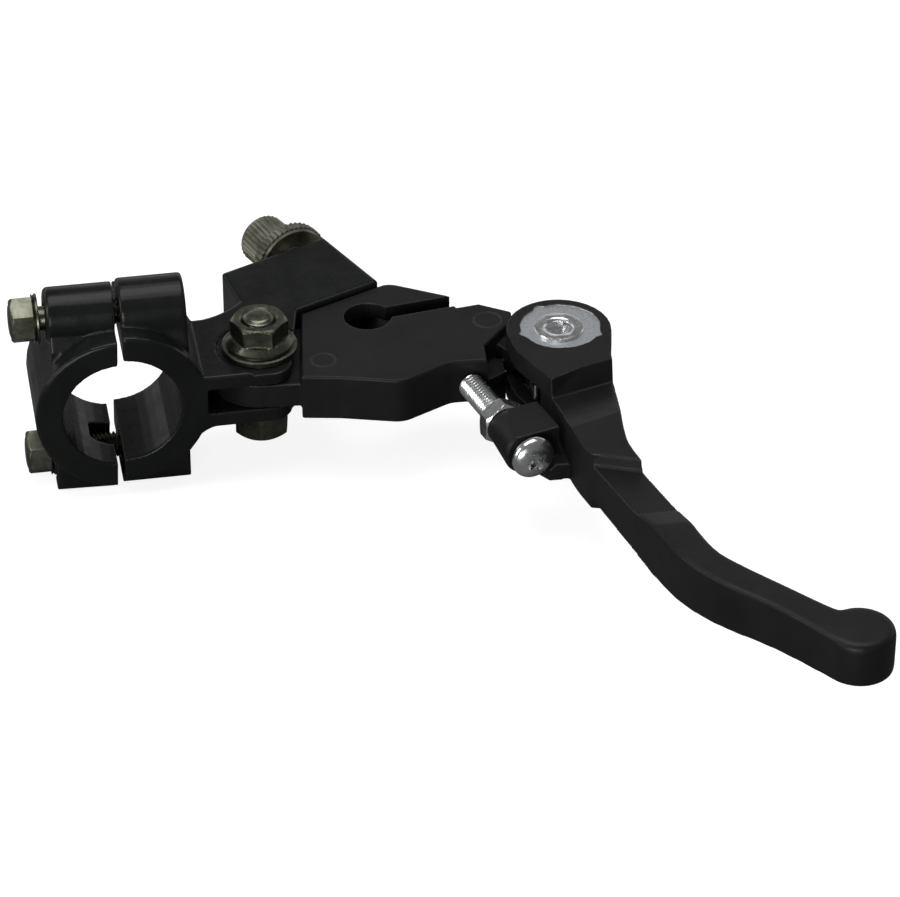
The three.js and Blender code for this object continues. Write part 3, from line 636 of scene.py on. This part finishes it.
def clamp_bolt(name, node):
    """An M5 flange bolt lying along +X, head at the left, with a domed end to its head."""
    left = low(node).x
    right = high(node).x
    middle = (low(node) + high(node)) / 2
    seat = right - CLAMP_BOLT_LENGTH
    radius = CLAMP_BOLT_RADIUS
    head_height = seat - left - CLAMP_FLANGE_HEIGHT
    stations, top = flanged_head(
        CLAMP_BOLT_FLATS, CLAMP_FLANGE_RADIUS, CLAMP_FLANGE_HEIGHT, head_height, math.radians(8)
    )
    for i in range(7):
        share = i / 6
        stations.append((top + 0.4 * math.sqrt(share), 3.0 * math.sqrt(1 - share) + 0.15))
    shank = [(-CLAMP_BOLT_LENGTH, radius - 0.6), (-CLAMP_BOLT_LENGTH + 0.4, radius - 0.25)]
    shank += thread_stations(radius, CLAMP_BOLT_PITCH, -CLAMP_BOLT_LENGTH + 0.5, -1.5)
    shank += [(-1.2, radius - 0.2), (-0.01, radius - 0.2)]
    bolt = spun(name, shank + stations)
    return moved(bolt, frame_along(Vector((seat, middle.y, middle.z)), Vector((-1, 0, 0))))


for node in ("clamp_bolt_upper", "clamp_bolt_lower"):
    bolt = clamp_bolt(node + "_m5", node)
    finished(bolt, "perch", node, dark_zinc, 30)


def on_pivot(obj):
    return moved(obj, Matrix.Translation((PIVOT.x, PIVOT.y, 0)))


def pivot_bolt():
    """The pivot bolt hangs head down; its threaded end shows above the nut."""
    head_top = -5.75
    depth = head_top - low("pivot_bolt").z
    stations, top = flanged_head(
        PIVOT_FLATS, 6.9, PIVOT_FLANGE_HEIGHT, depth - PIVOT_FLANGE_HEIGHT, math.radians(20)
    )
    upside_down = [(head_top - height, radius) for height, radius in reversed(stations)]
    end = high("pivot_bolt").z
    shank = [(head_top, BOLT_RADIUS), (5, BOLT_RADIUS)]
    shank += thread_stations(BOLT_RADIUS, BOLT_PITCH, 5.1, end - 0.6)
    shank += [(end - 0.45, 2.62), (end - 0.2, 2.42), (end - 0.05, 2.1), (end, 1.6)]
    return on_pivot(spun("pivot_bolt_m6", upside_down + shank))


def pivot_nut():
    """Flange nut: hexagon with both its edges chamfered over a coned flange."""
    bottom = low("pivot_nut").z
    top = high("pivot_nut").z
    turn = math.radians(50)
    stations = [(bottom, 6.3), (bottom + 0.2, 6.5), (bottom + 0.8, 6.5)]
    stations += [(bottom + 1.1, 6.2), (bottom + 1.9, 5.55)]
    stations.append((bottom + 2.0, hexagon(PIVOT_FLATS, turn)))
    for i in range(9):
        drop = 0.9 * (1 - i / 8)
        stations.append((top - 0.9 * drop, hexagon(PIVOT_FLATS, turn, 4.75 + drop * 1.3)))
    stations += [(top, 3.7), (top - 0.55, 3.05), (bottom + 0.5, 3.05), (bottom, 3.4)]
    return on_pivot(spun("pivot_nut_m6", stations, hollow=True))


def washer(name, node, inner):
    bottom = low(node).z
    top = high(node).z
    outer = (high(node).x - low(node).x) / 2
    stations = [
        (bottom, inner), (bottom, outer - 0.12), (bottom + 0.15, outer), (top - 0.2, outer),
        (top - 0.05, outer - 0.1), (top, outer - 0.25), (top, inner),
    ]
    return spun(name, stations, hollow=True)


finished(pivot_bolt(), "perch", "pivot_bolt", dark_zinc, 30)
finished(pivot_nut(), "perch", "pivot_nut", dark_zinc, 30)
finished(on_pivot(washer("pivot_washer_plain", "pivot_washer", 3.2)), "perch", "pivot_washer",
         dark_zinc, 30)

# ------------------------------------------------------------------ cable adjuster

ADJUSTER_HEAD_START = 5.9
ADJUSTER_HEAD_END = 15.1
LOCK_RING_START = 2.6
LOCK_RING_END = 5.6


def adjuster():
    """Hollow M8 screw with a long straight-knurled head and a pocket for the ferrule."""
    rim = knurl(5.05, 30, 0.32)
    start = ADJUSTER_HEAD_START
    end = ADJUSTER_HEAD_END
    slant = math.radians(7)
    stations = [(-14, 3.2), (-13.4, 3.6)]
    stations += thread_stations(4, 1.25, -13.3, start - 0.6)
    stations += [(start - 0.5, 3.5), (start, 3.6), (start, 4.4), (start + 0.45, 4.75)]
    for i in range(9):
        share = i / 8
        stations.append((start + 0.5 + (end - start - 1.3) * share, rim, slant * share))
    stations += [(end - 0.45, 4.72, slant), (end - 0.2, 4.5, slant), (end, 4.1, slant)]
    stations += [(end, 3.1), (end - 7, 3.1), (end - 7.2, 1.7), (-14, 1.7)]
    obj = spun("cable_adjuster_m8", stations, segments=240, hollow=True)
    return moved(obj, frame_along(ADJUSTER_SEAT, ADJUSTER_AXIS))


def lock_ring():
    """Thin knurled wheel that jams the adjuster."""
    start = LOCK_RING_START
    end = LOCK_RING_END
    rim = knurl(8, 44, 0.35)
    stations = [(start, 4.1), (start, 7.2), (start + 0.4, 7.55), (start + 0.45, rim)]
    stations += [(end - 0.45, rim), (end - 0.4, 7.55), (end, 7.2), (end, 4.1)]
    obj = spun("adjuster_lock_ring_knurled", stations, segments=264, hollow=True)
    return moved(obj, frame_along(ADJUSTER_SEAT, ADJUSTER_AXIS))


finished(adjuster(), "adjuster", "cable_adjuster", olive_zinc, 25)
finished(lock_ring(), "lock_ring", "adjuster_lock_ring", olive_zinc, 25)

# ------------------------------------------------------------------ fold pivot


def on_fold(obj):
    return moved(obj, Matrix.Translation((FOLD.x, FOLD.y, 0)))


def fold_screw():
    """Socket screw: flat round head with a raised rim and a hexagon socket."""
    bottom = low("fold_screw").z
    top = high("fold_screw").z
    stations = [(bottom, 2.3), (bottom + 0.5, 2.8)]
    stations += thread_stations(3, 1, bottom + 0.6, -6)
    stations += [(-5.5, 3), (SPOT_FLOOR, 3), (SPOT_FLOOR, 4.65)]
    stations += [(SPOT_FLOOR + 0.08, 4.75), (top - 0.2, 4.75), (top - 0.05, 4.62), (top, 4.4)]
    screw = spun("fold_screw_socket", stations)
    socket = spun("socket", [(top - 1.8, hexagon(4.2)), (top + 1, hexagon(4.2))])
    mouth = spun("mouth", [(top - 0.45, 2.5), (top - 0.1, 2.8), (top + 0.01, 3.0), (top + 1, 3.0)])
    cut(screw, socket, mouth)
    return on_fold(screw)


def fold_nut():
    bottom = low("fold_nut").z
    top = high("fold_nut").z
    turn = math.radians(15)
    stations = [(bottom, 3.6)]
    for i in range(9):
        rise = 0.9 * i / 8
        stations.append((bottom + 0.85 * rise, hexagon(10, turn, 4.8 + rise * 1.3)))
    stations += [(top - 0.05, hexagon(10, turn)), (top, 4.9), (top, 3.05), (bottom + 0.5, 3.05)]
    return on_fold(spun("fold_nut_m6", stations, hollow=True))


def fold_spring():
    """Torsion spring with a hook beside the blade, two turns and a short anchor leg."""
    low_z = -1.85
    rise = 2.25
    turns = 2.03
    coil = 6.3
    steps = 160
    left = FOLD.x - coil
    path = []
    hook = ((-10.2, 1.8), (-10.22, 0.6), (-10.2, -0.6), (-9.9, -1.4), (-9.2, -1.8))
    for y, z in hook:
        path.append(Vector((left, FOLD.y + y, z)))
    for step in range(13):
        path.append(Vector((left, FOLD.y - 7 + 0.5 * step, low_z)))
    for i in range(steps + 1):
        share = i / steps
        angle = math.pi - 2 * math.pi * turns * share
        path.append(Vector((
            FOLD.x + coil * math.cos(angle), FOLD.y + coil * math.sin(angle), low_z + rise * share,
        )))
    end = math.pi - 2 * math.pi * turns
    outward = Vector((math.cos(end), math.sin(end), 0))
    along = Vector((math.sin(end), -math.cos(end), 0))
    last = path[-1]
    path.append(last + 0.8 * along + 0.25 * outward)
    for radial in (0.9, 2, 4):
        path.append(last + 1.1 * along + radial * outward)
    return wire("fold_spring_wire", path, 0.48)


# Two points on the stretch of the spring's hook beside the blade; the spring is baked rigid in
# place and does not follow the blade or bend.
inward = Vector((math.sqrt(0.5), math.sqrt(0.5), 0))
legs = ("blade", FOLD - 6.9 * inward, FOLD - 9.6 * inward)
finished(fold_spring(), "lever", "fold_spring", bright_zinc, 60, legs)
finished(fold_screw(), "blade", "fold_screw", bright_zinc, 30)
finished(fold_nut(), "blade", "fold_nut", bright_zinc, 30)

# ------------------------------------------------------------------ stop screw


STOP_RADIUS = 2.5
STOP_PITCH = 0.8
STOP_LENGTH = 26.6
STOP_HEAD_RADIUS = 4.2
STOP_HEAD_HEIGHT = 2.5
STOP_NUT_START = 12.6
STOP_NUT_END = 15.8
RECESS_DEPTH = 1.9
# Arms of the cross recess: degrees round the head, half length and half width.
RECESS_ARMS = ((0, 2.7, 0.55), (90, 2.7, 0.55), (45, 1.9, 0.25), (135, 1.9, 0.25))


def along_stop(obj):
    return moved(obj, frame_along(STOP_TIP, STOP_AXIS))


def stop_screw():
    """M5 pan head screw with a cross recess."""
    length = STOP_LENGTH
    crown = length + STOP_HEAD_HEIGHT
    rim = STOP_HEAD_RADIUS
    stations = [(0.3, 1.6), (0.7, 2.0)]
    stations += thread_stations(STOP_RADIUS, STOP_PITCH, 0.75, length - 0.5)
    stations += [(length - 0.3, 2.45), (length, 2.45), (length, rim - 0.25)]
    stations += [(length + 0.2, rim - 0.05), (length + 0.6, rim)]
    for i in range(1, 9):
        bend = math.radians(90 * i / 9)
        stations.append((length + 0.6 + 1.9 * math.sin(bend), rim - 3.3 * (1 - math.cos(bend))))
    screw = spun("stop_screw_m5", stations, segments=96)
    for degrees, reach, half in RECESS_ARMS:
        corners = [(-reach, -half), (reach, -half), (reach, half), (-reach, half)]
        arm = slab("arm", corners, crown - RECESS_DEPTH, crown + 1)
        for vertex in arm.data.vertices:
            if vertex.co.z < crown:
                vertex.co.x *= 0.35
                vertex.co.y *= 0.6
        moved(arm, Matrix.Rotation(math.radians(degrees + 30), 4, "Z"))
        cut(screw, arm)
    return along_stop(screw)


def stop_nut():
    start = STOP_NUT_START
    end = STOP_NUT_END
    stations = [(start, 3)]
    for i in range(7):
        rise = 0.6 * i / 6
        stations.append((start + rise * 0.8, hexagon(8, 0, 3.85 + rise * 1.3)))
    for i in range(7):
        rise = 0.6 * (1 - i / 6)
        stations.append((end - rise * 0.8, hexagon(8, 0, 3.85 + rise * 1.3)))
    stations += [(end, 3), (end - 0.4, 2.55), (start + 0.4, 2.55)]
    return along_stop(spun("stop_nut_m5", stations, hollow=True))


finished(stop_screw(), "stop_screw", "stop_screw", bright_zinc, 30)
finished(stop_nut(), "stop_nut", "stop_nut", bright_zinc, 30)

# ------------------------------------------------------------------ hidden CAD parts

for node, obj in frame["nodes"].items():
    if obj.hide_render:
        continue
    obj.data.materials.clear()
    obj.data.materials.append(turned_steel)

# ------------------------------------------------------------------ stage

FLOOR_REACH = 4.0

floor_level = cad_box[0].z
floor_mesh = bpy.data.meshes.new("floor")
corners = [(-FLOOR_REACH, -FLOOR_REACH, 0), (FLOOR_REACH, -FLOOR_REACH, 0)]
corners += [(FLOOR_REACH, FLOOR_REACH, 0), (-FLOOR_REACH, FLOOR_REACH, 0)]
floor_mesh.from_pydata(corners, [], [(0, 1, 2, 3)])
floor = new_object("floor", floor_mesh)
floor.location.z = floor_level

floor_material, floor_tree, floor_shader = nodes_of("pale_floor")
light_path = add(floor_tree, "ShaderNodeLightPath")
to_camera = light_path.outputs["Is Camera Ray"]
seen = mixed(floor_tree, to_camera, (0.16, 0.16, 0.16, 1), (0.4, 0.4, 0.4, 1))
floor_tree.links.new(seen, floor_shader.inputs["Base Color"])
floor_shader.inputs["Emission Color"].default_value = (1, 1, 1, 1)
glow = ramp(floor_tree, to_camera, 0.0, 0.85, 0.0, 1.0)
floor_tree.links.new(glow, floor_shader.inputs["Emission Strength"])
floor_shader.inputs["Roughness"].default_value = 0.9
floor_shader.inputs["Specular IOR Level"].default_value = 0.0
floor_mesh.materials.append(floor_material)


def softbox(name, place, target, size, power):
    light = bpy.data.lights.new(name, "AREA")
    light.shape = "RECTANGLE"
    light.size, light.size_y = size
    light.energy = power
    lamp = bpy.data.objects.new(name, light)
    bpy.context.scene.collection.objects.link(lamp)
    lamp.location = place
    lamp.rotation_mode = "QUATERNION"
    lamp.rotation_quaternion = (Vector(target) - Vector(place)).to_track_quat("-Z", "Y")
    return lamp


softbox("overhead", (0.02, 0.05, 0.75), (0.05, -0.03, 0), size=(0.7, 0.5), power=3.4)
softbox("left", (-0.8, -0.1, 0.35), (0.04, -0.03, 0), size=(0.4, 0.5), power=2.6)
softbox("front", (-0.35, -0.85, 0.12), (0.04, -0.03, 0), size=(0.5, 0.4), power=4.5)

world = bpy.data.worlds.new("studio")
world.use_nodes = True
bpy.context.scene.world = world
tree = world.node_tree
background = tree.nodes["Background"]
direction = add(tree, "ShaderNodeTexCoord")
parts = add(tree, "ShaderNodeSeparateXYZ")
tree.links.new(direction.outputs["Generated"], parts.inputs[0])
low_band = ramp(tree, parts.outputs["Z"], 1.0, 0.0, 0.22, 0.5)
behind = ramp(tree, parts.outputs["Y"], 0.0, 1.0, 0.0, 0.5)
backdrop = product(tree, low_band, behind)
sky = mixed(tree, backdrop, (0.14, 0.14, 0.14, 1), (0.75, 0.75, 0.75, 1))
tree.links.new(sky, background.inputs["Color"])

# ------------------------------------------------------------------ camera

CAMERA_PLACE = Vector((-65.4, -675.0, 447.1)) * MM
AZIMUTH = math.radians(9.9)
ELEVATION = math.radians(34.9)
LENS = 167.7
SENSOR_WIDTH = 36

camera_data = bpy.data.cameras.new("camera")
camera_data.lens = LENS
camera_data.sensor_width = SENSOR_WIDTH
camera_data.clip_start = 0.05
camera_data.clip_end = 20
camera = bpy.data.objects.new("camera", camera_data)
bpy.context.scene.collection.objects.link(camera)
looking = Vector((
    math.sin(AZIMUTH) * math.cos(ELEVATION),
    math.cos(AZIMUTH) * math.cos(ELEVATION),
    -math.sin(ELEVATION),
))
camera.location = CAMERA_PLACE
camera.rotation_mode = "QUATERNION"
camera.rotation_quaternion = looking.to_track_quat("-Z", "Y")
bpy.context.scene.camera = camera
bpy.context.scene.view_settings.view_transform = "Standard"
